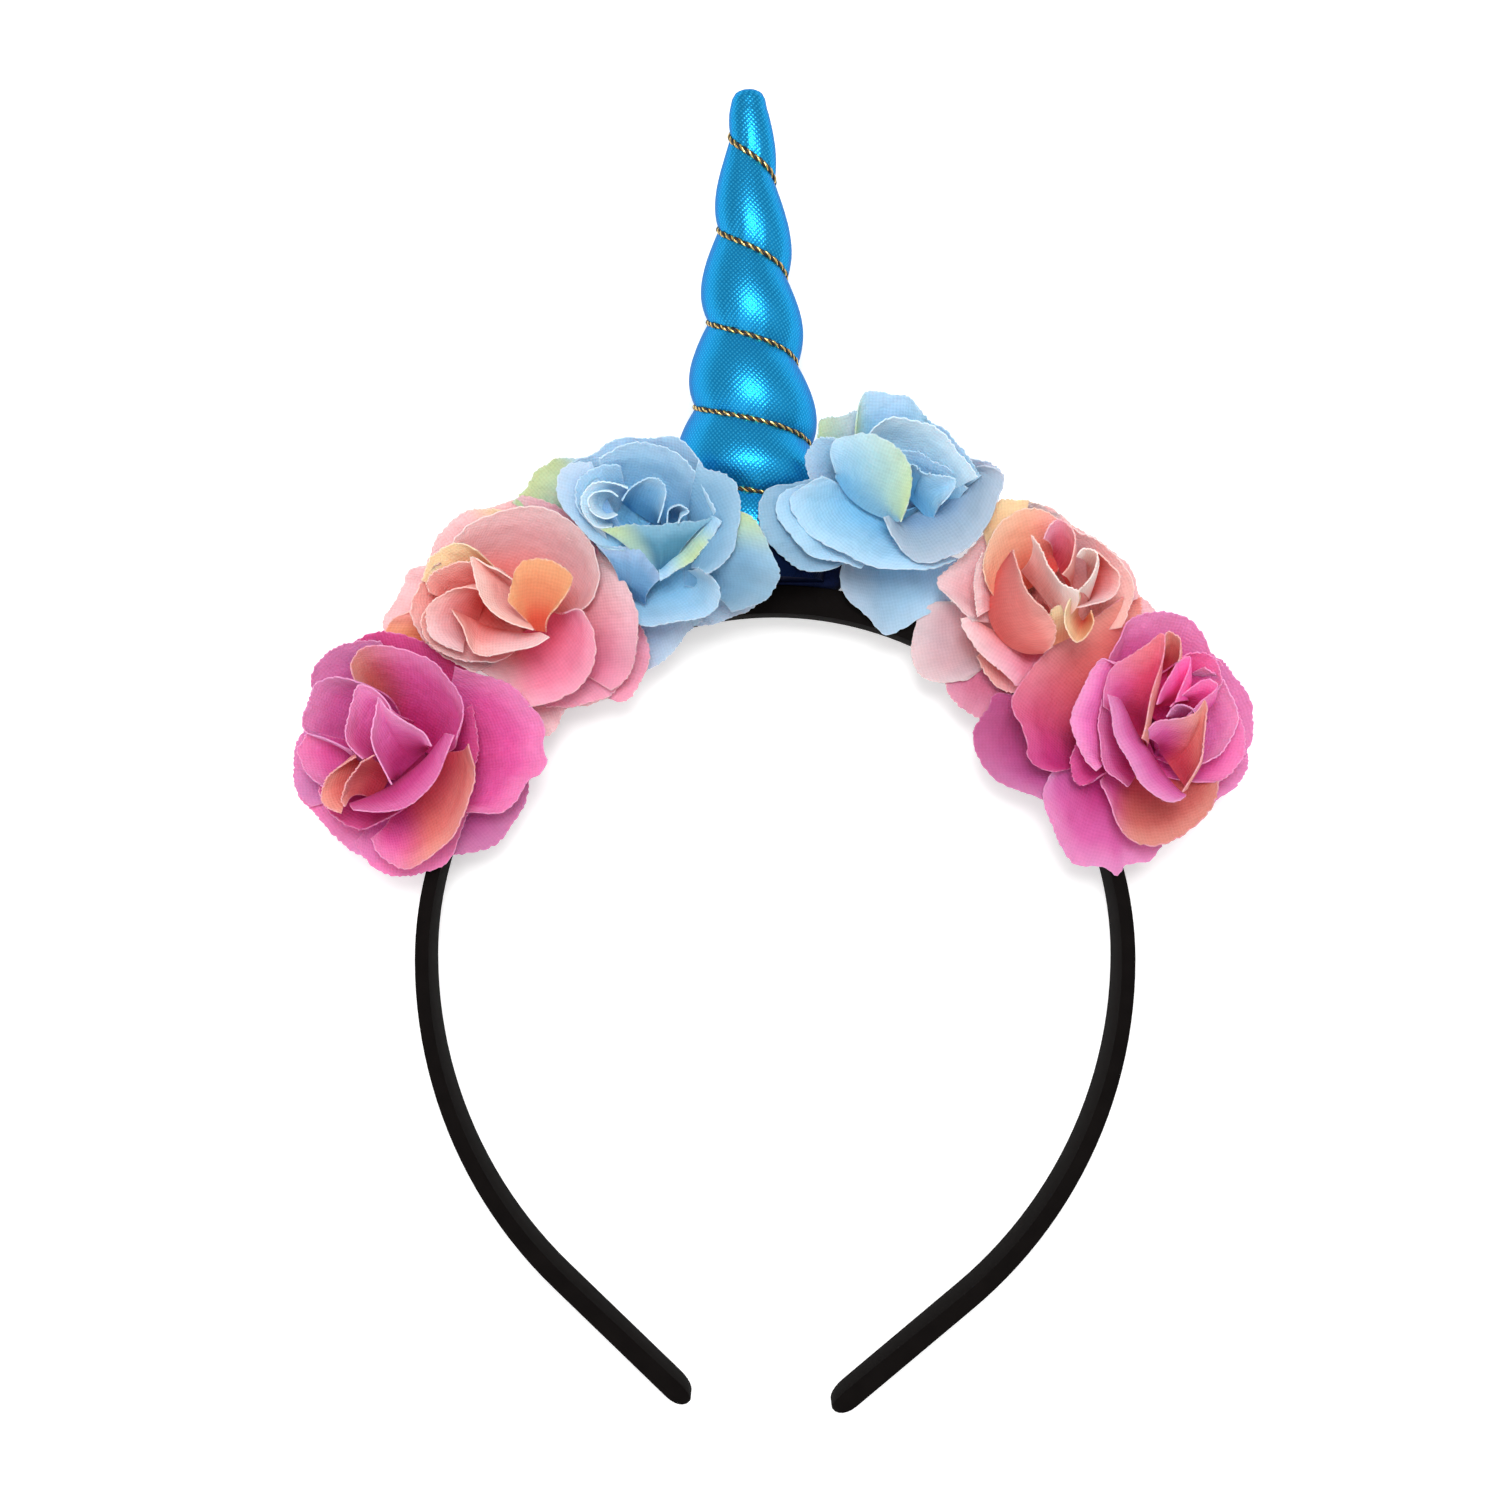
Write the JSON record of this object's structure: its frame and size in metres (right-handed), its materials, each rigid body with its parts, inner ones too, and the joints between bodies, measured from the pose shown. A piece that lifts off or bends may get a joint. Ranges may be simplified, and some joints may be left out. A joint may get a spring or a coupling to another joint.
{
  "type": "unicorn horn headband with fabric roses",
  "caption": "Black hairband with a stuffed blue lame horn wound with metallic cord, and fabric roses in magenta, salmon and pale blue on either side of it.",
  "frame": {"origin": "middle of the crown on the band's back edge, on the surface that the hairband lies on", "axes": "+Y from the crown to the horn's tip, +Z the way the roses face, +X to the right as the roses are looked at"},
  "size_m": [0.1648, 0.2328, 0.0401],
  "materials": {
    "band_satin": "black satin cover with a slight sheen",
    "horn_lame": "bright blue metallic woven lame",
    "metallic_cord": "gold and black twisted metallic thread",
    "magenta_cloth": "thin matte woven petal cloth, dyed magenta and coral",
    "salmon_cloth": "thin matte woven petal cloth, dyed salmon, pink and cream",
    "blue_cloth": "thin matte woven petal cloth, dyed pale blue and yellow-green"
  },
  "bodies": {
    "root": {"hairband": "band_satin", "horn": "horn_lame", "horn_cord": "metallic_cord", "magenta_left_outer_petals": "magenta_cloth", "magenta_left_middle_petals": "magenta_cloth", "magenta_left_inner_petals": "magenta_cloth", "magenta_left_heart": "magenta_cloth", "salmon_left_outer_petals": "salmon_cloth", "salmon_left_middle_petals": "salmon_cloth", "salmon_left_inner_petals": "salmon_cloth", "salmon_left_heart": "salmon_cloth", "blue_left_outer_petals": "blue_cloth", "blue_left_middle_petals": "blue_cloth", "blue_left_inner_petals": "blue_cloth", "blue_left_heart": "blue_cloth", "blue_right_outer_petals": "blue_cloth", "blue_right_middle_petals": "blue_cloth", "blue_right_inner_petals": "blue_cloth", "blue_right_heart": "blue_cloth", "salmon_right_outer_petals": "salmon_cloth", "salmon_right_middle_petals": "salmon_cloth", "salmon_right_inner_petals": "salmon_cloth", "salmon_right_heart": "salmon_cloth", "magenta_right_outer_petals": "magenta_cloth", "magenta_right_middle_petals": "magenta_cloth", "magenta_right_inner_petals": "magenta_cloth", "magenta_right_heart": "magenta_cloth"}
  },
  "joints": []
}
